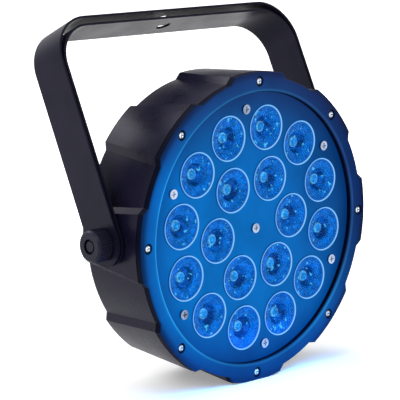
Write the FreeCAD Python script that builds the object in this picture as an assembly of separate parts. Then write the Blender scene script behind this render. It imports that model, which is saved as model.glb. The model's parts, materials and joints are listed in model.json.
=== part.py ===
import FreeCAD, Part
import math
import os
from FreeCAD import Vector

# Flat round LED par can with two nested yokes, in millimetres.
# Working frame: X is the tilt axis, Y runs from the front plane of the bezel to the rear,
# Z is up, and the origin is the centre of the bezel's front plane.
# Every piece is moved to the part's frame when it is written: see frame_shift.

# Outline of the bezel and the rear housing: eight lobes around a circle
lobe_count = 8
lobe_radius = 101.0
lobe_height = 3.5
lobe_top_half_angle = 12.2
lobe_ramp_angle = 2.5
lobe_taper_angle = 3.7
housing_draft = 3.4
standing_flat_width = 22.0

# Bezel
bezel_skirt = 5.0
bezel_edge_round = 1.5
bezel_rim_width = 13.0
bezel_lip_round = 1.8
plate_recess = 4.2
plate_overlap = 2.2
seam_gap = 0.5

# Rear housing
housing_back = 61.0
housing_back_round = 3.0
round_steps = 5
wall = 3.0
boss_radius = 4.4
rim_boss_end = 19.0

# Fasteners
rim_screw_inset = 6.0
rim_counterbore_radius = 3.5
rim_counterbore_depth = 2.6
screw_head_radius = 3.1
rim_head_radius = 2.9
screw_head_height = 1.7
screw_shank_radius = 1.45
screw_hole_clearance = 0.15
screw_pilot_clearance = 0.05
cross_slot_length = 3.6
cross_slot_width = 0.8
cross_slot_depth = 1.0

# Face plate and lens pattern
plate_thickness = 2.0
plate_fit = 0.3
plate_screw_circle = 78.2
plate_screw_count = 6
plate_screw_start = 36.8
outer_lens_circle = 65.0
outer_lens_count = 12
outer_lens_start = -8.2
inner_lens_circle = 33.4
inner_lens_count = 6
inner_lens_start = 6.8

# Lens, holder and emitter
lens_radius = 14.75
lens_stand = 1.0
lens_rim_width = 1.0
lens_rim_step = 0.5
lens_dome = 0.5
lens_flange_extra = 0.85
lens_flange_thickness = 0.8
lens_depth = 11.6
lens_end_radius = 5.5
lens_cavity_radius = 3.4
lens_cavity_depth = 3.8
lens_hole_clearance = 0.25
holder_wall = 1.25
holder_floor = 1.0
holder_hole_radius = 4.3
emitter_size = 5.0
emitter_height = 1.0
emitter_dome_radius = 2.2
seat_clearance = 0.1

# Light engine
board_radius = 84.0
board_thickness = 1.6
sink_base = 3.0
sink_fin_height = 10.0
sink_fin_thickness = 1.6
sink_fin_pitch = 10.0
sink_fin_reach = 66.0
post_circle = 80.0
post_radius = 4.5
post_screw_length = 16.0
standoff_radius = 3.25

# Tilt axis, yokes and knobs
pivot_depth = 30.0
yoke_tilt = 26.2
yoke_width = 28.5
yoke_thickness = 1.5
yoke_side_clearance = 0.5
outer_yoke_height = 144.2
outer_yoke_bend = 28.0
inner_yoke_height = 139.0
inner_yoke_bend = 26.0
yoke_hole_radius = 5.0
stud_radius = 4.0
stud_clearance = 0.1
land_step = 0.7
pivot_land_radius = 12.0
friction_gap = 0.1
spacer_thickness = 1.0
washer_radius = 10.0
insert_radius = 6.5
insert_length = 12.0
stud_reach = 11.0
knob_radius = 10.4
knob_length = 10.6
knob_end_wall = 4.0
knob_button_drop = 0.6
knob_washer = 1.0
knob_knurls = 40
knurl_depth = 0.45
knob_face_bevel = 1.2
knob_recess_radius = 4.8
knob_recess_depth = 2.2
knob_button_radius = 3.2

# Rear panel
panel_width = 140.0
panel_height = 92.0
panel_thickness = 1.5
panel_corner = 6.0
panel_rim = 9.0
panel_screw_inset = 5.5
display_width = 46.0
display_height = 18.0
display_z = 25.0
display_fit = 0.1
window_ledge = 2.0
window_ledge_thickness = 0.8
button_pitch = 16.0
button_z = 7.0
button_radius = 3.6
button_travel = 0.6
button_stand = 1.6
button_clearance = 0.2
button_edge_round = 0.5
button_flange = 1.0
button_flange_extra = 1.2
button_flange_gap = 0.1
socket_z = -20.0
dmx_input_x = 48.0
dmx_output_x = 20.0
power_input_x = -11.0
power_output_x = -43.5
fuse_x = -48.0
fuse_z = 14.0

# Rear vents and safety eye
vent_width = 3.0
vent_length = 22.0
vent_pitch = 7.5
vent_count = 7
vent_z = 67.0
eye_x = 50.0
eye_z = 55.5
eye_ring = 9.5
eye_wire = 2.0
eye_plate_length = 32.0
eye_screw_inset = 3.2
eye_plate_width = 10.0
eye_plate_thickness = 2.0

# Sockets on the rear panel
xlr_barrel_radius = 11.8
xlr_flange_width = 26.0
xlr_flange_height = 31.0
xlr_flange_thickness = 2.0
xlr_depth = 20.0
xlr_cup_radius = 9.3
xlr_cup_depth = 14.0
xlr_pin_radius = 1.2
xlr_pin_circle = 4.2
xlr_insert_radius = 7.4
iec_body_width = 27.2
iec_body_height = 19.6
iec_flange_width = 31.0
iec_flange_height = 24.0
iec_flange_thickness = 2.5
iec_depth = 20.0
iec_cup_width = 24.4
iec_cup_height = 16.6
iec_cup_depth = 15.0
iec_pin_width = 2.0
iec_pin_height = 4.0
iec_pin_spread = 7.0
iec_earth_z = 1.4
iec_line_z = -2.2
fuse_body_radius = 6.0
fuse_cap_radius = 8.0
fuse_cap_height = 5.0
fuse_depth = 22.0
socket_clearance = 0.05

# Control board, display and buttons behind the panel
control_width = 72.0
control_height = 40.0
control_gap = 7.0
switch_size = 6.0
switch_gap = 0.2
control_thickness = 1.6
pillar_radius = 3.0
pillar_inset = 4.0

# Power supply inside the housing
supply_width = 96.0
supply_height = 56.0
supply_z = -8.0
supply_board_thickness = 1.6
supply_gap = 3.0
bracket_thickness = 1.5
bracket_foot = 8.0
supply_board_margin = 4.0

X_AXIS = Vector(1, 0, 0)
Y_AXIS = Vector(0, 1, 0)

# Depths along Y that several pieces share
plate_back = plate_recess + plate_thickness
lens_front = plate_recess - lens_stand
flange_front = plate_back + seat_clearance
flange_back = flange_front + lens_flange_thickness
lens_back = lens_front + lens_depth
board_front = lens_back + seat_clearance + holder_floor
board_back = board_front + board_thickness
sink_back = board_back + sink_base
inner_back = housing_back - wall
panel_front = housing_back
panel_back = panel_front + panel_thickness
control_front = panel_front - control_gap
supply_front = sink_back + sink_fin_height + supply_gap
housing_front = bezel_skirt + seam_gap
recess_radius = lobe_radius - lobe_height
bezel_opening_radius = lobe_radius - bezel_rim_width
rim_screw_circle = lobe_radius - rim_screw_inset
holder_radius = lens_radius + holder_wall
inner_yoke_half = lobe_radius + yoke_side_clearance + yoke_thickness
pivot_land = inner_yoke_half - yoke_thickness - land_step
outer_yoke_half = inner_yoke_half + spacer_thickness + friction_gap + yoke_thickness
bottom_z = -math.sqrt(lobe_radius ** 2 - (standing_flat_width / 2) ** 2)

# The part's frame: origin under the middle of its box, at the height that it stands on
tilt = math.radians(yoke_tilt)
yoke_rear = (pivot_depth + outer_yoke_height * math.sin(tilt)
             + yoke_width / 2 * math.cos(tilt))
frame_shift = Vector(0, -yoke_rear / 2, -bottom_z)


def polar(radius, degrees, depth):
    angle = math.radians(degrees)
    return Vector(radius * math.cos(angle), depth, radius * math.sin(angle))


def rod(x, z, radius, front, back):
    return Part.makeCylinder(radius, back - front, Vector(x, front, z), Y_AXIS)


def cross_rod(radius, low_x, high_x, depth=pivot_depth, z=0.0):
    return Part.makeCylinder(radius, high_x - low_x, Vector(low_x, depth, z), X_AXIS)


def block(x, z, width, height, front, back):
    corner = Vector(x - width / 2, front, z - height / 2)
    return Part.makeBox(width, back - front, height, corner)


def ring_angles(count, start=0.0):
    return [start + 360.0 * k / count for k in range(count)]


def ring_points(radius, count, start=0.0):
    return [polar(radius, angle, 0) for angle in ring_angles(count, start)]


def join(shapes):
    whole = shapes[0]
    for shape in shapes[1:]:
        whole = whole.fuse(shape)
    return whole.removeSplitter()


def group(shapes):
    return Part.makeCompound(shapes)


def revolve(points, x=0.0, z=0.0):
    wire = Part.makePolygon([Vector(r, y, 0) for r, y in points + points[:1]])
    solid = Part.Face(wire).revolve(Vector(0, 0, 0), Y_AXIS, 360)
    solid.translate(Vector(x, 0, z))
    return solid


def export(name, shape):
    placed = shape.copy()
    placed.translate(frame_shift)
    placed.exportStep("parts/" + name + ".step")


def lobed_wire(depth, radius, height, top_half, ramp):
    """Closed outline of eight lobes at one depth, with a flat under the bottom lobe."""
    half_flat = math.degrees(math.asin(standing_flat_width / 2 / radius))
    step = 360.0 / lobe_count
    edges = []

    def arc(r, start, end):
        middle = polar(r, (start + end) / 2, depth)
        edges.append(Part.Arc(polar(r, start, depth), middle, polar(r, end, depth)).toShape())

    def line(start, end):
        edges.append(Part.makeLine(start, end))

    for k in range(lobe_count):
        centre = k * step
        foot = top_half + ramp
        if centre == 270.0:
            arc(radius, centre - top_half, centre - half_flat)
            line(polar(radius, centre - half_flat, depth), polar(radius, centre + half_flat, depth))
            arc(radius, centre + half_flat, centre + top_half)
        else:
            arc(radius, centre - top_half, centre + top_half)
        low = radius - height
        line(polar(radius, centre + top_half, depth), polar(low, centre + foot, depth))
        arc(low, centre + foot, centre + step - foot)
        line(polar(low, centre + step - foot, depth),
             polar(radius, centre + step - top_half, depth))
    return Part.Wire(edges)


def housing_outline(depth, inset=0.0):
    """Outline at a depth: full at the seam, drafted with narrower lobes towards the back."""
    share = max(0.0, (depth - housing_front) / (housing_back - housing_front))
    radius = lobe_radius - housing_draft * share - inset
    top_half = lobe_top_half_angle - lobe_taper_angle * share
    return lobed_wire(depth, radius, lobe_height, top_half, lobe_ramp_angle)


def rounded_sections(end, inward, size):
    """Outlines that round an edge at depth end; inward is 1 or -1, towards the material."""
    sections = []
    for k in range(round_steps + 1):
        angle = math.pi / 2 * k / round_steps
        inset = size * (1 - math.sin(angle))
        depth = end + inward * size * (1 - math.cos(angle))
        sections.append(housing_outline(depth, inset))
    return sections


def rounded_opening():
    """Cutter for the bezel's opening, whose front edge is rounded."""
    size = bezel_lip_round
    radius = bezel_opening_radius
    short = size * (1 - math.sqrt(0.5))
    points = [Vector(0, -1, 0), Vector(radius + size, -1, 0), Vector(radius + size, 0, 0),
              Vector(radius, size, 0), Vector(radius, bezel_skirt + 1, 0),
              Vector(0, bezel_skirt + 1, 0)]
    edges = [Part.makeLine(points[k], points[(k + 1) % 6]) for k in (0, 1, 3, 4, 5)]
    edges.append(Part.Arc(points[2], Vector(radius + short, short, 0), points[3]).toShape())
    wire = Part.Wire(Part.__sortEdges__(edges))
    return Part.Face(wire).revolve(Vector(0, 0, 0), Y_AXIS, 360)


def front_bezel():
    sections = rounded_sections(0, 1, bezel_edge_round) + [housing_outline(bezel_skirt)]
    body = Part.makeLoft(sections, True, True)
    body = body.cut(rounded_opening())
    body = body.cut(rod(0, 0, bezel_opening_radius + plate_overlap + plate_fit,
                        plate_recess, bezel_skirt + 1))
    for point in ring_points(rim_screw_circle, lobe_count):
        body = body.cut(rod(point.x, point.z, rim_counterbore_radius, -1, rim_counterbore_depth))
        body = body.cut(rod(point.x, point.z, screw_shank_radius + screw_hole_clearance,
                            0, bezel_skirt + 1))
    return body


def screw(x, z, seat, end, head_radius=screw_head_radius, facing=-1):
    """Cross-head screw along Y; facing -1 has its head in front of the seat, 1 behind it."""
    top = seat + facing * screw_head_height
    head = rod(x, z, head_radius, min(seat, top), max(seat, top))
    shank = rod(x, z, screw_shank_radius, min(seat, end), max(seat, end))
    slot_end = top - facing * cross_slot_depth
    low, high = min(top, slot_end), max(top, slot_end)
    body = head.fuse(shank).removeSplitter()
    body = body.cut(block(x, z, cross_slot_length, cross_slot_width, low, high))
    return body.cut(block(x, z, cross_slot_width, cross_slot_length, low, high))


def rim_screws():
    end = rim_boss_end - 3.0
    return group([screw(point.x, point.z, rim_counterbore_depth, end, rim_head_radius)
                  for point in ring_points(rim_screw_circle, lobe_count)])


def plate_screw_points():
    return ring_points(plate_screw_circle, plate_screw_count, plate_screw_start) + [Vector(0, 0, 0)]


def post_points():
    start = plate_screw_start - 180.0 / plate_screw_count
    return ring_points(post_circle, plate_screw_count, start)


def lens_points():
    outer = ring_points(outer_lens_circle, outer_lens_count, outer_lens_start)
    inner = ring_points(inner_lens_circle, inner_lens_count, inner_lens_start)
    return outer + inner


def face_plate():
    radius = bezel_opening_radius + plate_overlap
    plate = rod(0, 0, radius, plate_recess, plate_back)
    for point in lens_points():
        plate = plate.cut(rod(point.x, point.z, lens_radius + lens_hole_clearance,
                              plate_recess - 1, plate_back + 1))
    for point in plate_screw_points():
        plate = plate.cut(rod(point.x, point.z, screw_shank_radius + screw_hole_clearance,
                              plate_recess - 1, plate_back + 1))
    return plate


def plate_screws():
    return group([screw(point.x, point.z, plate_recess, sink_back - 0.3)
                  for point in plate_screw_points()])


def standoffs():
    hole = screw_shank_radius + screw_hole_clearance
    return group([rod(p.x, p.z, standoff_radius, plate_back, board_front)
                  .cut(rod(p.x, p.z, hole, plate_back - 1, board_front + 1))
                  for p in plate_screw_points()])


def lens(point):
    """Collimator lens: raised rim, low dome, flange behind the plate, cone, emitter cavity."""
    face = lens_front + lens_rim_step
    rim_inner = lens_radius - lens_rim_width
    flange = lens_radius + lens_flange_extra
    chord = rim_inner
    dome_radius = (chord ** 2 + lens_dome ** 2) / (2 * lens_dome)
    dome_points = []
    steps = 6
    for k in range(steps + 1):
        r = rim_inner * k / steps
        rise = math.sqrt(dome_radius ** 2 - r ** 2) - (dome_radius - lens_dome)
        dome_points.append((r, face - rise))
    cavity = lens_back - lens_cavity_depth
    bevel = 0.3
    profile = dome_points + [
        (rim_inner, lens_front + bevel), (rim_inner + bevel, lens_front),
        (lens_radius - bevel, lens_front), (lens_radius, lens_front + bevel),
        (lens_radius, flange_front), (flange, flange_front), (flange, flange_back),
        (lens_radius - 0.6, flange_back), (lens_radius - 3.2, flange_back + 3.4),
        (lens_end_radius, lens_back), (lens_cavity_radius, lens_back),
        (lens_cavity_radius, cavity), (0, cavity - 0.6)]
    return revolve(profile, point.x, point.z)


def lens_holders():
    inner = lens_radius - 0.2
    shapes = []
    for point in lens_points():
        cup = rod(point.x, point.z, holder_radius, flange_back, board_front)
        cup = cup.cut(rod(point.x, point.z, inner, flange_back - 1, board_front - holder_floor))
        shapes.append(cup.cut(rod(point.x, point.z, holder_hole_radius,
                                  flange_back, board_front + 1)))
    return group(shapes)


def led_emitters():
    shapes = []
    for point in lens_points():
        base = block(point.x, point.z, emitter_size, emitter_size,
                     board_front - emitter_height, board_front)
        ball = Part.makeSphere(emitter_dome_radius,
                               Vector(point.x, board_front - emitter_height, point.z))
        front_half = block(point.x, point.z, emitter_size, emitter_size,
                           board_front - emitter_height - emitter_dome_radius - 1,
                           board_front - emitter_height / 2)
        shapes.append(base.fuse(ball.common(front_half)).removeSplitter())
    return group(shapes)


def led_board():
    board = rod(0, 0, board_radius, board_front, board_back)
    for point in plate_screw_points() + post_points():
        board = board.cut(rod(point.x, point.z, screw_shank_radius + screw_hole_clearance,
                              board_front - 1, board_back + 1))
    return board


def heat_sink():
    body = rod(0, 0, board_radius, board_back, sink_back)
    count = int(sink_fin_reach // sink_fin_pitch)
    fins = []
    for k in range(-count, count + 1):
        x = k * sink_fin_pitch
        length = 2 * math.sqrt(sink_fin_reach ** 2 - x ** 2)
        fins.append(block(x, 0, sink_fin_thickness, length, sink_back, sink_back + sink_fin_height))
    body = join([body] + fins)
    for point in plate_screw_points():
        body = body.cut(rod(point.x, point.z, screw_shank_radius + screw_pilot_clearance,
                            board_back - 1, sink_back))
    for point in post_points():
        body = body.cut(rod(point.x, point.z, screw_shank_radius + screw_hole_clearance,
                            board_back - 1, sink_back + 1))
    return body


def post_screws():
    end = board_front + post_screw_length
    return group([screw(point.x, point.z, board_front, end) for point in post_points()])


def cavity_radius(depth):
    """Inner radius of the housing's side wall at a depth."""
    share = (depth - housing_front) / (housing_back - housing_front)
    return recess_radius - wall - housing_draft * share


def rear_housing():
    sections = rounded_sections(housing_back, -1, housing_back_round)
    body = Part.makeLoft([housing_outline(housing_front)] + sections[::-1], True, True)
    for side in (-1, 1):
        start = cavity_radius(pivot_depth) - 1
        low, high = sorted((side * start, side * pivot_land))
        body = body.fuse(cross_rod(pivot_land_radius, low, high))
    cavity = Part.makeCone(cavity_radius(housing_front), cavity_radius(inner_back),
                           inner_back - housing_front, Vector(0, housing_front, 0), Y_AXIS)
    body = body.cut(cavity)
    for point in ring_points(rim_screw_circle, lobe_count):
        body = body.fuse(rod(point.x, point.z, boss_radius, bezel_skirt, rim_boss_end))
    for point in post_points():
        body = body.fuse(rod(point.x, point.z, post_radius, sink_back, inner_back + 1))
    for side in (-1, 1):
        boss_end = pivot_land - insert_length - wall
        low, high = sorted((side * boss_end, side * (cavity_radius(pivot_depth) + 1)))
        body = body.fuse(cross_rod(insert_radius + wall, low, high))
    body = body.removeSplitter()
    for point in ring_points(rim_screw_circle, lobe_count):
        body = body.cut(rod(point.x, point.z, screw_shank_radius + screw_pilot_clearance,
                            bezel_skirt - 1, rim_boss_end - 2))
    for point in post_points():
        body = body.cut(rod(point.x, point.z, screw_shank_radius + screw_pilot_clearance,
                            sink_back - 1, board_front + post_screw_length + 2))
    for side in (-1, 1):
        low, high = sorted((side * (pivot_land - insert_length), side * (pivot_land + 1)))
        body = body.cut(cross_rod(insert_radius, low, high))
        low, high = sorted((side * (pivot_land - insert_length - wall - 1), side * pivot_land))
        body = body.cut(cross_rod(stud_radius + stud_clearance, low, high))
    body = body.cut(block(0, 0, panel_width - 2 * panel_rim, panel_height - 2 * panel_rim,
                          inner_back - 1, housing_back + 1))
    for x, z in panel_screw_places():
        body = body.cut(rod(x, z, screw_shank_radius + screw_pilot_clearance,
                            inner_back - 1, housing_back + 1))
    for x, z in vent_places():
        body = body.cut(slot(x, z, vent_width, vent_length, inner_back - 1, housing_back + 1))
    for x, z in eye_screw_places():
        body = body.cut(rod(x, z, screw_shank_radius + screw_pilot_clearance,
                            inner_back - 1, housing_back + 1))
    return body


def slot(x, z, width, length, front, back):
    """Upright slot with round ends."""
    straight = length - width
    body = block(x, z, width, straight, front, back)
    body = body.fuse(rod(x, z + straight / 2, width / 2, front, back))
    return body.fuse(rod(x, z - straight / 2, width / 2, front, back)).removeSplitter()


def vent_places():
    middle = (vent_count - 1) / 2
    return [((k - middle) * vent_pitch, side * vent_z)
            for side in (-1, 1) for k in range(vent_count)]


def panel_screw_places():
    x = panel_width / 2 - panel_screw_inset
    z = panel_height / 2 - panel_screw_inset
    return [(-x, -z), (x, -z), (x, z), (-x, z)]


def eye_screw_places():
    offset = eye_plate_length / 2 - eye_screw_inset
    return [(eye_x - offset, eye_z), (eye_x + offset, eye_z)]


def button_places():
    return [((k - 1.5) * button_pitch, button_z) for k in range(4)]


def rear_panel():
    body = block(0, 0, panel_width, panel_height, panel_front, panel_back)
    corners = [edge for edge in body.Edges
               if edge.BoundBox.XLength < 0.01 and edge.BoundBox.ZLength < 0.01]
    body = body.makeFillet(panel_corner, corners)
    front, back = panel_front - 1, panel_back + 1
    body = body.cut(block(0, display_z, display_width, display_height, front, back))
    for x, z in button_places():
        body = body.cut(rod(x, z, button_radius + button_clearance, front, back))
    for x in (dmx_input_x, dmx_output_x):
        body = body.cut(rod(x, socket_z, xlr_barrel_radius, front, back))
    for x in (power_input_x, power_output_x):
        body = body.cut(block(x, socket_z, iec_body_width, iec_body_height, front, back))
    body = body.cut(rod(fuse_x, fuse_z, fuse_body_radius, front, back))
    for x, z in panel_screw_places():
        body = body.cut(rod(x, z, screw_shank_radius + screw_hole_clearance, front, back))
    return body


def panel_screws():
    shapes = [screw(x, z, panel_back, inner_back + 0.3, facing=1) for x, z in panel_screw_places()]
    eye_back = housing_back + eye_plate_thickness
    shapes += [screw(x, z, eye_back, inner_back + 0.3, facing=1) for x, z in eye_screw_places()]
    return group(shapes)


def xlr_pin_angles():
    return (90.0, 210.0, 330.0)


def xlr_shell(x):
    face = panel_back + xlr_flange_thickness
    flange = block(x, socket_z, xlr_flange_width, xlr_flange_height, panel_back, face)
    barrel = rod(x, socket_z, xlr_barrel_radius - socket_clearance, panel_back - xlr_depth, face)
    body = flange.fuse(barrel).removeSplitter()
    return body.cut(rod(x, socket_z, xlr_cup_radius, face - xlr_cup_depth, face + 1))


def dmx_input_socket():
    body = xlr_shell(dmx_input_x)
    floor = panel_back + xlr_flange_thickness - xlr_cup_depth
    for angle in xlr_pin_angles():
        place = polar(xlr_pin_circle, angle, 0)
        pin = rod(dmx_input_x + place.x, socket_z + place.z, xlr_pin_radius,
                  floor - 1, panel_back)
        body = body.fuse(pin)
    return body.removeSplitter()


def dmx_output_socket():
    body = xlr_shell(dmx_output_x)
    face = panel_back + xlr_flange_thickness
    insert = rod(dmx_output_x, socket_z, xlr_insert_radius, face - xlr_cup_depth - 1, face - 0.8)
    for angle in xlr_pin_angles():
        place = polar(xlr_pin_circle, angle, 0)
        insert = insert.cut(rod(dmx_output_x + place.x, socket_z + place.z,
                                xlr_pin_radius + 0.2, face - xlr_cup_depth, face))
    return body.fuse(insert).removeSplitter()


def iec_shell(x):
    face = panel_back + iec_flange_thickness
    flange = block(x, socket_z, iec_flange_width, iec_flange_height, panel_back, face)
    barrel = block(x, socket_z, iec_body_width - 2 * socket_clearance,
                   iec_body_height - 2 * socket_clearance, panel_back - iec_depth, face)
    body = flange.fuse(barrel).removeSplitter()
    return body, face


def iec_pin_places():
    return ((0.0, iec_earth_z), (-iec_pin_spread, iec_line_z), (iec_pin_spread, iec_line_z))


def power_inlet():
    body, face = iec_shell(power_input_x)
    body = body.cut(block(power_input_x, socket_z, iec_cup_width, iec_cup_height,
                          face - iec_cup_depth, face + 1))
    for dx, dz in iec_pin_places():
        pin = block(power_input_x + dx, socket_z + dz, iec_pin_width, iec_pin_height,
                    face - iec_cup_depth - 1, face - 3)
        body = body.fuse(pin)
    return body.removeSplitter()


def power_outlet():
    body, face = iec_shell(power_output_x)
    groove = block(power_output_x, socket_z, iec_cup_width, iec_cup_height, face - 6, face + 1)
    core = block(power_output_x, socket_z, iec_cup_width - 4, iec_cup_height - 4, face - 7, face + 1)
    body = body.cut(groove.cut(core))
    for dx, dz in iec_pin_places():
        body = body.cut(block(power_output_x + dx, socket_z + dz, iec_pin_width + 0.4,
                              iec_pin_height + 0.4, face - iec_cup_depth, face + 1))
    return body


def fuse_holder():
    body = rod(fuse_x, fuse_z, fuse_body_radius - socket_clearance,
               panel_back - fuse_depth, panel_back)
    body = body.fuse(rod(fuse_x, fuse_z, fuse_cap_radius, panel_back, panel_back + fuse_cap_height))
    coin_slot = block(fuse_x, fuse_z, 9.0, 1.4, panel_back + fuse_cap_height - 1.5,
                      panel_back + fuse_cap_height + 1)
    return body.removeSplitter().cut(coin_slot)


def display_window():
    """Clear window, flush with the panel's outside, with a ledge behind the panel."""
    window = block(0, display_z, display_width - 2 * display_fit, display_height - 2 * display_fit,
                   panel_front - window_ledge_thickness, panel_back)
    ledge = block(0, display_z, display_width + 2 * window_ledge, display_height + 2 * window_ledge,
                  panel_front - window_ledge_thickness, panel_front)
    return window.fuse(ledge).removeSplitter()


def display_module():
    return block(0, display_z, display_width - 4, display_height - 2,
                 control_front, panel_front - window_ledge_thickness)


def control_board():
    centre = (display_z + button_z) / 2
    board = block(0, centre, control_width, control_height,
                  control_front - control_thickness, control_front)
    shapes = [board]
    for x, z in button_places():
        rest_front = panel_front - button_flange_gap - button_flange
        switch_back = rest_front - switch_gap - button_travel
        shapes.append(block(x, z, switch_size, switch_size, control_front, switch_back))
    for side in (-1, 1):
        x = side * (control_width / 2 - pillar_inset)
        for end in (-1, 1):
            z = centre + end * (control_height / 2 - pillar_inset)
            shapes.append(rod(x, z, pillar_radius, control_front, panel_front))
    return join(shapes)


def menu_button(x, z):
    face = panel_back + button_stand
    flange_back = panel_front - button_flange_gap
    cap = rod(x, z, button_radius, flange_back - button_flange, face)
    rim = [edge for edge in cap.Edges
           if edge.BoundBox.YLength < 0.01 and abs(edge.CenterOfMass.y - face) < 0.01]
    cap = cap.makeFillet(button_edge_round, rim)
    flange = rod(x, z, button_radius + button_flange_extra,
                 flange_back - button_flange, flange_back)
    return cap.fuse(flange).removeSplitter()


def supply_tray():
    """Sheet tray that carries the power supply board off the fins of the heat sink."""
    back = supply_front
    front = sink_back + sink_fin_height
    plate = block(0, supply_z, supply_width + 8, supply_height, back - bracket_thickness, back)
    shapes = [plate]
    for side in (-1, 1):
        for end in (-1, 1):
            x = side * 2 * sink_fin_pitch
            z = supply_z + end * (supply_height / 2 - bracket_foot)
            shapes.append(block(x, z, bracket_foot, bracket_foot, front, back))
    return join(shapes)


def supply_board_shape():
    return block(0, supply_z, supply_width, supply_height - supply_board_margin,
                 supply_front, supply_front + supply_board_thickness)


def supply_components():
    base = supply_front + supply_board_thickness
    shapes = [
        block(-20, supply_z + 10, 22, 20, base, base + 13),
        rod(8, supply_z + 12, 7.0, base, base + 12),
        rod(24, supply_z + 12, 5.0, base, base + 12),
        block(38, supply_z - 12, 12, 14, base, base + 6),
        block(-38, supply_z - 12, 10, 16, base, base + 6),
    ]
    return group(shapes)


# Yokes, washers, studs and knobs
def yoke_outline(half, height, bend):
    left = -half
    corner = bend * (1 - math.sqrt(0.5))
    points = [
        Vector(left, 0, 0), Vector(left, 0, height - bend),
        Vector(left + corner, 0, height - corner), Vector(left + bend, 0, height),
        Vector(half - bend, 0, height), Vector(half - corner, 0, height - corner),
        Vector(half, 0, height - bend), Vector(half, 0, 0)]
    edges = [
        Part.makeLine(points[0], points[1]),
        Part.Arc(points[1], points[2], points[3]).toShape(),
        Part.makeLine(points[3], points[4]),
        Part.Arc(points[4], points[5], points[6]).toShape(),
        Part.makeLine(points[6], points[7]),
        Part.makeLine(points[7], points[0])]
    return Part.Face(Part.Wire(edges))


def yoke(half, height, bend):
    outer = yoke_outline(half, height, bend)
    inner = yoke_outline(half - yoke_thickness, height - yoke_thickness, bend - yoke_thickness)
    span = Vector(0, yoke_width, 0)
    body = outer.extrude(span).cut(inner.extrude(span))
    body.translate(Vector(0, -yoke_width / 2, 0))
    for low in (-half, half - yoke_thickness):
        end = Part.makeCylinder(yoke_width / 2, yoke_thickness, Vector(low, 0, 0), X_AXIS)
        body = body.fuse(end)
    body = body.removeSplitter()
    hole = Part.makeCylinder(stud_radius + stud_clearance, 2 * half + 2,
                             Vector(-half - 1, 0, 0), X_AXIS)
    top_hole = Part.makeCylinder(yoke_hole_radius, 4 * yoke_thickness,
                                 Vector(0, 0, height - 2 * yoke_thickness), Vector(0, 0, 1))
    body = body.cut(hole).cut(top_hole)
    body.rotate(Vector(0, 0, 0), X_AXIS, -yoke_tilt)
    body.translate(Vector(0, pivot_depth, 0))
    return body


def ring_on_axis(outer, inner, start, end, side):
    low, high = sorted((side * start, side * end))
    return cross_rod(outer, low, high).cut(cross_rod(inner, low - 1, high + 1))


def friction_washer(side):
    """Washer between the housing's land and the inner yoke."""
    return ring_on_axis(washer_radius, stud_radius + stud_clearance, pivot_land,
                        inner_yoke_half - yoke_thickness - friction_gap, side)


def spacer_washer(side):
    """Washer that rides on the inner yoke and keeps the outer yoke off it."""
    return ring_on_axis(washer_radius, stud_radius + stud_clearance, inner_yoke_half,
                        outer_yoke_half - yoke_thickness - friction_gap, side)


def knob_washer_ring(side):
    start = outer_yoke_half + friction_gap
    return ring_on_axis(washer_radius - 1, stud_radius, start, start + knob_washer, side)


def pivot_insert(side):
    return ring_on_axis(insert_radius, stud_radius + stud_clearance,
                        pivot_land - insert_length, pivot_land, side)


def knob_base():
    return outer_yoke_half + friction_gap + knob_washer


def knob_stud(side):
    start = pivot_land - stud_reach
    low, high = sorted((side * start, side * (knob_base() + knob_length - knob_end_wall)))
    return cross_rod(stud_radius, low, high)


def knob(side):
    base = knob_base()
    grip = knob_length - knob_face_bevel
    points = []
    for k in range(2 * knob_knurls):
        radius = knob_radius - (knurl_depth if k % 2 else 0.0)
        angle = math.pi * k / knob_knurls
        points.append(Vector(base, radius * math.cos(angle), radius * math.sin(angle)))
    star = Part.Face(Part.makePolygon(points + points[:1])).extrude(Vector(grip, 0, 0))
    cap = Part.makeCone(knob_radius - knurl_depth, knob_radius - knurl_depth - knob_face_bevel,
                        knob_face_bevel, Vector(base + grip, 0, 0), X_AXIS)
    body = star.fuse(cap).removeSplitter()
    face = base + knob_length
    recess = Part.makeCylinder(knob_recess_radius, knob_recess_depth + 1,
                               Vector(face - knob_recess_depth, 0, 0), X_AXIS)
    button = Part.makeCylinder(knob_button_radius, knob_recess_depth - knob_button_drop,
                               Vector(face - knob_recess_depth, 0, 0), X_AXIS)
    body = body.cut(recess).fuse(button).removeSplitter()
    body = body.cut(Part.makeCylinder(stud_radius, knob_length - knob_end_wall, Vector(base, 0, 0), X_AXIS))
    if side < 0:
        body.rotate(Vector(0, 0, 0), Vector(0, 0, 1), 180)
    body.translate(Vector(0, pivot_depth, 0))
    return body


def safety_eye():
    """Wire loop on a small foot plate, for a safety cable."""
    foot = block(eye_x, eye_z, eye_plate_length, eye_plate_width,
                 housing_back, housing_back + eye_plate_thickness)
    for x, z in eye_screw_places():
        foot = foot.cut(rod(x, z, screw_shank_radius + screw_hole_clearance,
                            housing_back - 1, housing_back + eye_plate_thickness + 1))
    centre = Vector(eye_x, housing_back + eye_plate_thickness, eye_z)
    loop = Part.makeTorus(eye_ring - eye_wire, eye_wire, centre, Vector(0, 0, 1))
    keep = block(eye_x, eye_z, 4 * eye_ring, 4 * eye_wire,
                 housing_back + eye_plate_thickness / 2, housing_back + 4 * eye_ring)
    return foot.fuse(loop.common(keep)).removeSplitter()


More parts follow.
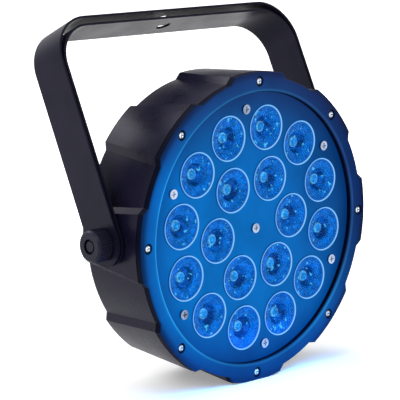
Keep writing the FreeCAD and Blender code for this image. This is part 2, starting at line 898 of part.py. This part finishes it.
def build():
    os.makedirs("parts", exist_ok=True)
    export("front_bezel", front_bezel())
    export("rear_housing", rear_housing())
    export("face_plate", face_plate())
    for number, point in enumerate(lens_points(), start=1):
        export("lens_%02d" % number, lens(point))
    export("lens_holders", lens_holders())
    export("led_emitters", led_emitters())
    export("led_board", led_board())
    export("heat_sink", heat_sink())
    export("plate_standoffs", standoffs())
    export("rim_screws", rim_screws())
    export("plate_screws", plate_screws())
    export("post_screws", post_screws())
    export("supply_tray", supply_tray())
    export("supply_board", supply_board_shape())
    export("supply_components", supply_components())
    export("control_board", control_board())
    export("display_module", display_module())
    export("display_window", display_window())
    export("rear_panel", rear_panel())
    export("panel_screws", panel_screws())
    for number, (x, z) in enumerate(button_places(), start=1):
        export("menu_button_%d" % number, menu_button(x, z))
    export("dmx_input_socket", dmx_input_socket())
    export("dmx_output_socket", dmx_output_socket())
    export("power_inlet", power_inlet())
    export("power_outlet", power_outlet())
    export("fuse_holder", fuse_holder())
    export("safety_eye", safety_eye())
    export("outer_yoke", yoke(outer_yoke_half, outer_yoke_height, outer_yoke_bend))
    export("inner_yoke", yoke(inner_yoke_half, inner_yoke_height, inner_yoke_bend))
    export("friction_washers", group([friction_washer(side) for side in (-1, 1)]))
    export("spacer_washers", group([spacer_washer(side) for side in (-1, 1)]))
    export("pivot_inserts", group([pivot_insert(side) for side in (-1, 1)]))
    for side, word in ((-1, "left"), (1, "right")):
        export("knob_washer_" + word, knob_washer_ring(side))
        export("knob_stud_" + word, knob_stud(side))
        export("knob_" + word, knob(side))


build()
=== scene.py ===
import json
import math
import random

import bmesh
import bpy
from mathutils import Matrix, Vector


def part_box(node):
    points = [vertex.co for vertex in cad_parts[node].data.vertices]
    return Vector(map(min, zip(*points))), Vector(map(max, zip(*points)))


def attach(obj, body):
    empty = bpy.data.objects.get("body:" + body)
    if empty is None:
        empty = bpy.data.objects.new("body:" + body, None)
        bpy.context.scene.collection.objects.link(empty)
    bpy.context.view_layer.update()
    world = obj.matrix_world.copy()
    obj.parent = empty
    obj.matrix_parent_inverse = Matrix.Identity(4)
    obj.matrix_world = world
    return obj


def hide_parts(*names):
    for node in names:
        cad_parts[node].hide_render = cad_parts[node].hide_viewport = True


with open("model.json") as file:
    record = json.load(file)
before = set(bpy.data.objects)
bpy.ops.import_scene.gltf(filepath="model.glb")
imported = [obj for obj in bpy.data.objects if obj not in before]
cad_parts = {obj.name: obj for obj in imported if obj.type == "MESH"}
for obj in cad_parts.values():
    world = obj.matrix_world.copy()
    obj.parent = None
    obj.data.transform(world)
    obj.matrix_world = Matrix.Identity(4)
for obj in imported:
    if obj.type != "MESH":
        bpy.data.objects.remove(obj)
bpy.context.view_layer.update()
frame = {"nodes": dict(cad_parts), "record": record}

MM = 0.001
NODES = frame["nodes"]
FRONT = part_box("front_bezel")[0][1]
AXIS_HEIGHT = (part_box("face_plate")[0][2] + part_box("face_plate")[1][2]) / 2
BEZEL_RADIUS = 101.0 * MM
RIM_SCREW_CIRCLE = 95.0 * MM
RIM_SCREW_COUNT = 8
LENS_RADIUS = 14.75 * MM
LENS_COUNT = 18
LENS_NAMES = ["lens_%02d" % k for k in range(1, LENS_COUNT + 1)]

# (radius, depth) in mm behind the front of a lens, from its core outwards
LENS_CORE_RADIUS = 3.25
LENS_WALL = [(3.25, 5.6), (3.5, 6.6), (4.6, 7.1), (5.6, 6.6), (6.5, 4.4), (7.3, 2.6),
             (9.0, 1.9), (11.0, 1.5), (13.0, 1.1), (13.75, 0.9)]
LENS_RIM = [(13.9, 0.25), (14.05, 0.05), (14.25, 0.0), (14.5, 0.0), (14.65, 0.1), (14.75, 0.3),
            (14.75, 3.1), (15.6, 3.1), (15.6, 3.9), (14.1, 3.9), (11.5, 8.4), (6.2, 11.0)]
LENS_BACK_RADIUS = 5.5
COVER_RADIUS = 13.7
COVER_BACK = 0.85

FOCAL_LENGTH = 181.8
SENSOR_WIDTH = 36.0
CAMERA_PLACE = (-0.9018, -0.94743, 0.35510)
CAMERA_RIGHT = Vector((0.72539, -0.68833, 0.00347))
CAMERA_FORWARD = Vector((0.67718, 0.71272, -0.18290))
FLOOR_HALF = 6.0


# ---------------------------------------------------------------- painting
class Paint:
    """A node material built step by step."""

    def __init__(self, name):
        self.material = bpy.data.materials.new(name)
        self.material.use_nodes = True
        self.tree = self.material.node_tree
        self.shader = self.tree.nodes["Principled BSDF"]
        self.place = self.add("ShaderNodeTexCoord").outputs["Object"]

    def add(self, kind, **settings):
        node = self.tree.nodes.new(kind)
        for key, value in settings.items():
            setattr(node, key, value)
        return node

    def link(self, source, target):
        self.tree.links.new(source, target)

    def set(self, **values):
        for key, value in values.items():
            self.shader.inputs[key.replace("_", " ")].default_value = value

    def noise(self, scale, detail=4.0, rough=0.55, vector=None):
        node = self.add("ShaderNodeTexNoise")
        node.inputs["Scale"].default_value = scale
        node.inputs["Detail"].default_value = detail
        node.inputs["Roughness"].default_value = rough
        self.link(vector or self.place, node.inputs["Vector"])
        return node.outputs["Fac"]

    def cells(self, scale, vector):
        node = self.add("ShaderNodeTexVoronoi", feature="F1")
        node.inputs["Scale"].default_value = scale
        self.link(vector, node.inputs["Vector"])
        return node.outputs["Distance"]

    def ramp(self, value, stops, interpolation="LINEAR"):
        node = self.add("ShaderNodeValToRGB")
        band = node.color_ramp
        band.interpolation = interpolation
        while len(band.elements) < len(stops):
            band.elements.new(0.5)
        for element, (at, colour) in zip(band.elements, stops):
            element.position = at
            element.color = (*colour, 1.0)
        self.link(value, node.inputs["Fac"])
        return node.outputs["Color"]

    def math(self, operation, a, b=None):
        node = self.add("ShaderNodeMath", operation=operation)
        for socket, value in zip(node.inputs, (a, b)):
            if isinstance(value, (int, float)):
                socket.default_value = value
            elif value is not None:
                self.link(value, socket)
        return node.outputs[0]

    def length(self, a, b):
        return self.math("SQRT", self.math("ADD", self.math("MULTIPLY", a, a),
                                           self.math("MULTIPLY", b, b)))

    def fit(self, value, low, high, to_low=0.0, to_high=1.0):
        node = self.add("ShaderNodeMapRange", interpolation_type="SMOOTHSTEP")
        for key, number in zip(("From Min", "From Max", "To Min", "To Max"),
                               (low, high, to_low, to_high)):
            node.inputs[key].default_value = number
        self.link(value, node.inputs["Value"])
        return node.outputs["Result"]

    def mix(self, share, a, b, blend="MIX"):
        node = self.add("ShaderNodeMix", data_type="RGBA", blend_type=blend)
        for socket, value in ((node.inputs[0], share), (node.inputs[6], a), (node.inputs[7], b)):
            if isinstance(value, tuple):
                socket.default_value = (*value, 1.0)
            elif isinstance(value, (int, float)):
                socket.default_value = value
            else:
                self.link(value, socket)
        return node.outputs[2]

    def axes(self):
        node = self.add("ShaderNodeSeparateXYZ")
        self.link(self.place, node.inputs[0])
        return node.outputs

    def bump(self, height, strength, distance):
        node = self.add("ShaderNodeBump")
        node.inputs["Strength"].default_value = strength
        node.inputs["Distance"].default_value = distance
        self.link(height, node.inputs["Height"])
        self.link(node.outputs["Normal"], self.shader.inputs["Normal"])

    def feed(self, socket, value):
        self.link(value, self.shader.inputs[socket])


def surface(name, dark, light, rough=(0.4, 0.55), metallic=0.0, grain=1500.0, cloud=45.0,
            bump=0.12, specular=0.5, tint=(1.0, 1.0, 1.0)):
    """Plain moulded, painted or plated surface: clouded colour, fine grain, uneven gloss."""
    paint = Paint(name)
    paint.set(Metallic=metallic, Specular_IOR_Level=specular, Specular_Tint=(*tint, 1.0))
    clouds = paint.noise(cloud, 5.0)
    paint.feed("Base Color", paint.ramp(clouds, [(0.3, dark), (0.7, light)]))
    fine = paint.noise(grain, 3.0, 0.6)
    paint.feed("Roughness", paint.fit(paint.math("ADD", paint.math("MULTIPLY", clouds, 0.6),
                                                 paint.math("MULTIPLY", fine, 0.4)),
                                      0.3, 0.7, rough[0], rough[1]))
    paint.bump(fine, bump, 0.0002)
    return paint


def glow_painted_front(name, dark, edge_depth, stops, far_side_shade):
    """Black front piece with the blue spill of the lenses painted on as glow, fading outwards and
    over its edge, with painted shade towards +X, the top and the bottom.
    """
    paint = surface(name, dark, tuple(1.5 * v for v in dark), (0.40, 0.55), grain=1800.0,
                    bump=0.10, specular=0.02)
    x, y, z = paint.axes()
    up = paint.math("SUBTRACT", z, AXIS_HEIGHT)
    radius = paint.length(x, up)
    # the painted glow fades out behind the front face
    fade = paint.fit(y, FRONT, FRONT + edge_depth, 1.0, 0.0)
    # painted glow by radius, from the stops
    ring = paint.ramp(paint.math("DIVIDE", radius, BEZEL_RADIUS), stops)
    # painted shade towards the +X side (and a little towards the top)
    across = paint.fit(paint.math("ADD", x, paint.math("MULTIPLY", up, 0.35)), -0.03, 0.105)
    side = paint.ramp(across, [(0.0, (1.0, 1.0, 1.0)), (0.45, (1.0, 0.86, 0.90)),
                               (1.0, far_side_shade)])
    painted_glow = paint.mix(1.0, ring, side, "MULTIPLY")
    # painted shade towards the top
    top = paint.math("MULTIPLY", paint.fit(up, 0.035, 0.098), 0.72)
    painted_glow = paint.mix(top, painted_glow, (0.010, 0.018, 0.070))
    # painted shade towards the bottom
    low = paint.math("MULTIPLY", paint.fit(up, -0.040, -0.098), 0.75)
    painted_glow = paint.mix(low, painted_glow, (0.0, 0.028, 0.19))
    # uneven strength of the painted glow
    mottle = paint.fit(paint.noise(28.0, 3.0), 0.3, 0.7, 0.88, 1.12)
    paint.feed("Emission Color", painted_glow)
    paint.feed("Emission Strength", paint.math("MULTIPLY", fade, mottle))
    return paint


def pocketed_screw(name, circle, count, bright_core, pocket_shade):
    """Plated screws on a circle, plated metal at the driver recess and painted pocket shade, near
    black, towards each head's rim.
    """
    paint = surface(name, pocket_shade, pocket_shade, (0.12, 0.24), 1.0, grain=3000.0, bump=0.05)
    x, _, z = paint.axes()
    up = paint.math("SUBTRACT", z, AXIS_HEIGHT)
    step = 2 * math.pi / count
    turn = paint.math("SNAP", paint.math("ADD", paint.math("ARCTAN2", up, x), step / 2), step)
    aside = paint.math("SUBTRACT", x, paint.math("MULTIPLY", paint.math("COSINE", turn), circle))
    above = paint.math("SUBTRACT", up, paint.math("MULTIPLY", paint.math("SINE", turn), circle))
    # plated metal near each screw's axis, painted pocket shade towards its rim
    core = paint.fit(paint.length(aside, above), 1.3 * MM, 2.1 * MM, 1.0, 0.0)
    speckle = paint.ramp(paint.noise(900.0), [(0.3, tuple(0.6 * v for v in bright_core)),
                                              (0.7, bright_core)])
    paint.feed("Base Color", paint.mix(core, pocket_shade, speckle))
    return paint


def lens_paint():
    """Painted glow of a collimator lens lit by its emitter: pebbled outside with painted sparkle
    and glints, painted shade in the dark step, bright core, painted highlight at the rim.
    """
    paint = Paint("lens_glow")
    paint.set(Roughness=0.25, Specular_IOR_Level=0.05)
    x, _, z = paint.axes()
    share = paint.math("DIVIDE", paint.length(x, z), LENS_RADIUS)
    # painted glow by radius: bright core with a painted highlight ring at its edge, painted shade
    # in the deep step, pebbled zone, painted highlight at the rim
    light = paint.ramp(share, [
        (0.0, (0.02, 0.42, 1.0)), (0.14, (0.006, 0.27, 0.92)), (0.21, (0.14, 0.60, 1.0)),
        (0.25, (0.0, 0.06, 0.34)), (0.35, (0.0, 0.022, 0.16)), (0.46, (0.0, 0.010, 0.08)),
        (0.54, (0.0, 0.14, 0.60)), (0.72, (0.0, 0.16, 0.66)), (0.90, (0.0, 0.11, 0.50)),
        (0.93, (0.0, 0.05, 0.32)), (0.950, (0.30, 0.68, 1.0)), (0.985, (0.10, 0.38, 0.82)),
        (1.0, (0.0, 0.03, 0.15))])
    offset = paint.add("ShaderNodeVectorMath", operation="ADD")
    whose = paint.add("ShaderNodeObjectInfo")
    paint.link(paint.place, offset.inputs[0])
    paint.link(whose.outputs["Random"], offset.inputs[1])
    own = offset.outputs[0]
    inside = paint.fit(share, 0.86, 0.92, 1.0, 0.0)
    # broken patches of painted light in the dark step
    broken = paint.fit(paint.noise(150.0, 1.0, vector=own), 0.46, 0.58)
    in_step = paint.math("MULTIPLY", paint.fit(share, 0.25, 0.31),
                         paint.fit(share, 0.46, 0.52, 1.0, 0.0))
    light = paint.mix(paint.math("MULTIPLY", paint.math("MULTIPLY", broken, in_step), 0.8),
                      light, (0.001, 0.12, 0.62))
    # pebbled sparkle and patches of brighter and dimmer painted glow inside the rim
    pebble = paint.fit(paint.cells(900.0, own), 0.1, 0.75, 1.30, 0.56)
    patch = paint.fit(paint.noise(230.0, 2.0, vector=own), 0.35, 0.68, 0.68, 1.22)
    light = paint.mix(inside, light, paint.mix(1.0, light, paint.math("MULTIPLY", pebble, patch),
                                               "MULTIPLY"))
    # painted glints
    glint = paint.math("MULTIPLY", paint.fit(paint.noise(330.0, 1.0, vector=own),
                                             0.64, 0.74), inside)
    light = paint.mix(paint.math("MULTIPLY", glint, 0.75), light, (0.10, 0.72, 1.0))
    paint.feed("Emission Color", light)
    paint.set(Emission_Strength=1.0, Base_Color=(0.002, 0.03, 0.12, 1.0))
    return paint


def cover_paint():
    """Clear pebbled front face of a lens."""
    paint = Paint("lens_cover")
    paint.set(Roughness=0.08, Specular_IOR_Level=0.04, Alpha=0.06,
              Base_Color=(0.0, 0.12, 0.45, 1.0))
    paint.bump(paint.cells(900.0, paint.place), 0.5, 0.0004)
    return paint


# ---------------------------------------------------------------- mesh helpers
def new_piece(name, mesh_builder, paint):
    mesh = bpy.data.meshes.new(name)
    work = bmesh.new()
    mesh_builder(work)
    bmesh.ops.recalc_face_normals(work, faces=work.faces)
    work.to_mesh(mesh)
    work.free()
    for polygon in mesh.polygons:
        polygon.use_smooth = True
    mesh.materials.append(paint.material)
    piece = bpy.data.objects.new(name, mesh)
    bpy.context.scene.collection.objects.link(piece)
    return piece


def spin(work, profile, steps):
    """Closed body of revolution round Y from (radius, depth) points; ends lie on the axis."""
    rings = []
    for radius, depth in profile:
        if radius < 1e-9:
            rings.append([work.verts.new((0.0, depth, 0.0))])
            continue
        rings.append([work.verts.new((radius * math.cos(2 * math.pi * k / steps), depth,
                                      radius * math.sin(2 * math.pi * k / steps)))
                      for k in range(steps)])
    for a, b in zip(rings, rings[1:]):
        for k in range(steps):
            n = (k + 1) % steps
            if len(a) == 1:
                work.faces.new((a[0], b[k], b[n]))
            elif len(b) == 1:
                work.faces.new((a[k], a[n], b[0]))
            else:
                work.faces.new((a[k], a[n], b[n], b[k]))


def lens_mesh(depth, seed):
    """Lens seen through its clear face: rim, sloped wall, deep step and a domed core."""
    draw = random.Random(seed)

    def build(work):
        core = [(LENS_CORE_RADIUS * k / 6, 4.6 + 1.0 * (k / 6) ** 2) for k in range(6)]
        profile = [(r * MM, d * MM) for r, d in core + LENS_WALL + LENS_RIM]
        spin(work, profile + [(LENS_BACK_RADIUS * MM, depth), (0.0, depth)], 72)
        for vert in work.verts:
            r = math.hypot(vert.co.x, vert.co.z) / MM
            if 7.5 < r < 13.3 and vert.co.y < 3.0 * MM:
                vert.co.y += draw.uniform(-0.12, 0.12) * MM

    return build


def cover_mesh(seed):
    """Thin clear dome set in the rim of a lens, with a pebbled outside."""
    draw = random.Random(seed)

    def build(work):
        rings = 14
        outside = [(COVER_RADIUS * k / rings, 0.18 + 0.40 * (k / rings) ** 2)
                   for k in range(rings + 1)]
        back = [(COVER_RADIUS, COVER_BACK), (0.0, COVER_BACK)]
        spin(work, [(r * MM, d * MM) for r, d in outside + back], 64)
        for vert in work.verts:
            if vert.co.y < 0.6 * MM and math.hypot(vert.co.x, vert.co.z) < 13.2 * MM:
                vert.co.y += draw.uniform(-0.05, 0.05) * MM

    return build


# ---------------------------------------------------------------- materials
# Bezel: painted blue glow by radius, a narrow painted highlight along the inner lip, dimmer towards
# the outer edge, painted shade on the +X side
bezel = glow_painted_front("bezel_black_painted_blue_glow", (0.0012, 0.0020, 0.008), 0.0017,
                  [(0.870, (0.0, 0.15, 0.52)), (0.882, (0.02, 0.38, 0.90)),
                   (0.894, (0.0, 0.15, 0.54)), (0.950, (0.0, 0.105, 0.43)),
                   (0.985, (0.0, 0.030, 0.13))], (1.0, 0.15, 0.22))
# Plate: painted blue glow, dimmer towards its edge, painted shade on the +X side
plate = glow_painted_front("plate_black_painted_blue_glow", (0.0010, 0.0040, 0.013), 0.0200,
                  [(0.0, (0.0, 0.165, 0.56)), (0.75, (0.0, 0.155, 0.55)),
                   (0.87, (0.0, 0.10, 0.42))], (1.0, 0.30, 0.36))
shell = surface("shell_black", (0.0040, 0.0034, 0.012), (0.008, 0.0068, 0.020), (0.24, 0.36),
                grain=1300.0, bump=0.16, specular=0.08, tint=(0.80, 0.78, 1.0))
steel = surface("yoke_black_coat", (0.0045, 0.0042, 0.012), (0.009, 0.0084, 0.020), (0.28, 0.40),
                grain=2400.0, bump=0.20, specular=0.09, tint=(0.80, 0.78, 1.0))
grip = surface("knob_black", (0.004, 0.004, 0.010), (0.008, 0.008, 0.019), (0.30, 0.44),
               grain=1600.0, bump=0.2, specular=0.14, tint=(0.80, 0.78, 1.0))
bright = surface("screw_zinc", (0.09, 0.12, 0.19), (0.40, 0.47, 0.60), (0.14, 0.26), 1.0,
                 grain=3000.0, bump=0.05)
# Rim screws: plated cores, with painted pocket shade, near black, towards each head's rim
pocket_shaded_screw = pocketed_screw("rim_screw_painted_pocket_shade", RIM_SCREW_CIRCLE, RIM_SCREW_COUNT,
                            (0.72, 0.80, 0.92), (0.004, 0.005, 0.010))
zinc = surface("zinc_plate", (0.45, 0.46, 0.48), (0.66, 0.67, 0.69), (0.25, 0.42), 1.0)
nylon = surface("nylon_black", (0.012, 0.012, 0.013), (0.022, 0.022, 0.024), (0.22, 0.36))
button = surface("button_grey", (0.030, 0.030, 0.032), (0.05, 0.05, 0.053), (0.35, 0.5))
screen = surface("display_red_black", (0.010, 0.002, 0.002), (0.016, 0.003, 0.003), (0.04, 0.1),
                 grain=500.0, bump=0.01, specular=0.7)
board = surface("board_white", (0.70, 0.70, 0.68), (0.80, 0.80, 0.78))
circuit = surface("circuit_green", (0.01, 0.07, 0.03), (0.02, 0.12, 0.05), (0.25, 0.4))
metal = surface("milled_aluminium", (0.60, 0.61, 0.63), (0.74, 0.75, 0.77), (0.28, 0.42), 1.0)
brass = surface("turned_brass", (0.58, 0.40, 0.16), (0.72, 0.53, 0.25), (0.2, 0.34), 1.0)
plain = surface("moulded_dark", (0.02, 0.02, 0.021), (0.035, 0.035, 0.037))
emitter = surface("emitter_pale", (0.4, 0.6, 0.9), (0.55, 0.75, 1.0), (0.1, 0.2))

BY_SLOT = {
    "bezel_plastic": bezel, "plate_paint": plate, "housing_plastic": shell,
    "black_steel": steel, "knob_plastic": grip, "screw_steel": bright, "zinc_steel": zinc,
    "socket_plastic": nylon, "washer_nylon": nylon, "button_plastic": button,
    "display_glass": screen, "board": board, "circuit_board": circuit,
    "sink_aluminium": metal, "insert_brass": brass, "holder_plastic": plain,
    "components": plain, "display_body": plain, "emitter": emitter}

slot_of = {row["node"]: row["material_slot"] for row in frame["record"]["subparts"]}
for name, node in NODES.items():
    paint = pocket_shaded_screw if name == "rim_screws" else BY_SLOT.get(slot_of[name])
    if paint is None:
        continue
    if not node.material_slots:
        node.data.materials.append(paint.material)
    for place in node.material_slots:
        place.material = paint.material

# ---------------------------------------------------------------- lenses
glow = lens_paint()
clear = cover_paint()
for number, name in enumerate(LENS_NAMES, start=1):
    low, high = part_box(name)
    seat = Matrix.Translation(((low[0] + high[0]) / 2, low[1], (low[2] + high[2]) / 2))
    body = new_piece("lens_body_%02d" % number, lens_mesh(high[1] - low[1], number), glow)
    face = new_piece("lens_face_%02d" % number, cover_mesh(100 + number), clear)
    for piece in (body, face):
        piece.matrix_world = seat
        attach(piece, "housing")
        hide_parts(name)

# ---------------------------------------------------------------- camera
camera_data = bpy.data.cameras.new("camera")
camera_data.lens = FOCAL_LENGTH
camera_data.sensor_width = SENSOR_WIDTH
camera = bpy.data.objects.new("camera", camera_data)
bpy.context.scene.collection.objects.link(camera)
camera_up = CAMERA_RIGHT.cross(CAMERA_FORWARD).normalized()
camera.matrix_world = Matrix.Translation(CAMERA_PLACE) @ Matrix(
    (CAMERA_RIGHT, camera_up, -CAMERA_FORWARD)).transposed().to_4x4()
bpy.context.scene.camera = camera

# ---------------------------------------------------------------- floor, world and lamps
floor_mesh = bpy.data.meshes.new("floor")
floor_mesh.from_pydata([(-FLOOR_HALF, -FLOOR_HALF, 0), (FLOOR_HALF, -FLOOR_HALF, 0),
                        (FLOOR_HALF, FLOOR_HALF, 0), (-FLOOR_HALF, FLOOR_HALF, 0)],
                       [], [(0, 1, 2, 3)])
floor = bpy.data.objects.new("floor", floor_mesh)
bpy.context.scene.collection.objects.link(floor)
floor_paint = Paint("floor_pale")
floor_paint.set(Roughness=0.55, Specular_IOR_Level=0.25)
floor_paint.feed("Base Color", floor_paint.ramp(floor_paint.noise(3.0),
                                                [(0.3, (0.93, 0.93, 0.93)),
                                                 (0.7, (0.96, 0.96, 0.96))]))
rays = floor_paint.add("ShaderNodeLightPath")
seen = floor_paint.math("MAXIMUM", floor_paint.math(
    "MAXIMUM", rays.outputs["Is Camera Ray"], rays.outputs["Is Glossy Ray"]),
    rays.outputs["Is Transmission Ray"])
floor_paint.set(Emission_Color=(1.0, 1.0, 1.0, 1.0))
floor_x, floor_y, _ = floor_paint.axes()
away = floor_paint.length(floor_x, floor_y)
# camera-seen glow on the floor, weak near the object and full further out: painted brightening of
# the floor away from the object
floor_paint.feed("Emission Strength", floor_paint.math(
    "MULTIPLY", seen, floor_paint.fit(away, 0.10, 0.55, 0.28, 1.0)))
floor_mesh.materials.append(floor_paint.material)

world = bpy.data.worlds.new("studio")
world.use_nodes = True
bpy.context.scene.world = world
tree = world.node_tree
path = tree.nodes.new("ShaderNodeLightPath")
lift = tree.nodes.new("ShaderNodeMath")
lift.operation = "MAXIMUM"
lift_more = tree.nodes.new("ShaderNodeMath")
lift_more.operation = "MAXIMUM"
strength = tree.nodes.new("ShaderNodeMapRange")
strength.inputs["To Min"].default_value = 0.35
strength.inputs["To Max"].default_value = 1.0
tree.links.new(path.outputs["Is Camera Ray"], lift.inputs[0])
tree.links.new(path.outputs["Is Transmission Ray"], lift.inputs[1])
tree.links.new(lift.outputs[0], lift_more.inputs[0])
tree.links.new(path.outputs["Is Glossy Ray"], lift_more.inputs[1])
tree.links.new(lift_more.outputs[0], strength.inputs["Value"])
tree.nodes["Background"].inputs["Color"].default_value = (1.0, 1.0, 1.0, 1.0)
tree.links.new(strength.outputs["Result"], tree.nodes["Background"].inputs["Strength"])


def softbox(name, place, target, width, height, power, colour=(1.0, 1.0, 1.0)):
    """Rectangular lamp at a place, facing a target."""
    lamp = bpy.data.lights.new(name, "AREA")
    lamp.shape = "RECTANGLE"
    lamp.size = width
    lamp.size_y = height
    lamp.energy = power
    lamp.color = colour
    holder = bpy.data.objects.new(name, lamp)
    holder.location = place
    holder.rotation_euler = (Vector(target) - Vector(place)).to_track_quat("-Z", "Y").to_euler()
    bpy.context.scene.collection.objects.link(holder)


middle = (0.0, 0.0, 0.10)
softbox("key_left", (-1.25, -0.30, 1.05), middle, 0.45, 0.8, 9.0)
softbox("top", (0.1, 0.2, 1.5), middle, 0.9, 0.9, 10.0)
softbox("front_fill", (-0.3, -1.6, 0.8), middle, 0.9, 0.7, 3.5)
softbox("rim_back_top", (-0.30, 1.15, 1.25), middle, 0.55, 0.9, 10.0)
softbox("beam_spill", (-0.01, -0.080, 0.045), (-0.01, -0.088, 0.0), 0.14, 0.03, 0.20,
        (0.05, 0.38, 1.0))

bpy.context.scene.view_settings.view_transform = "Standard"
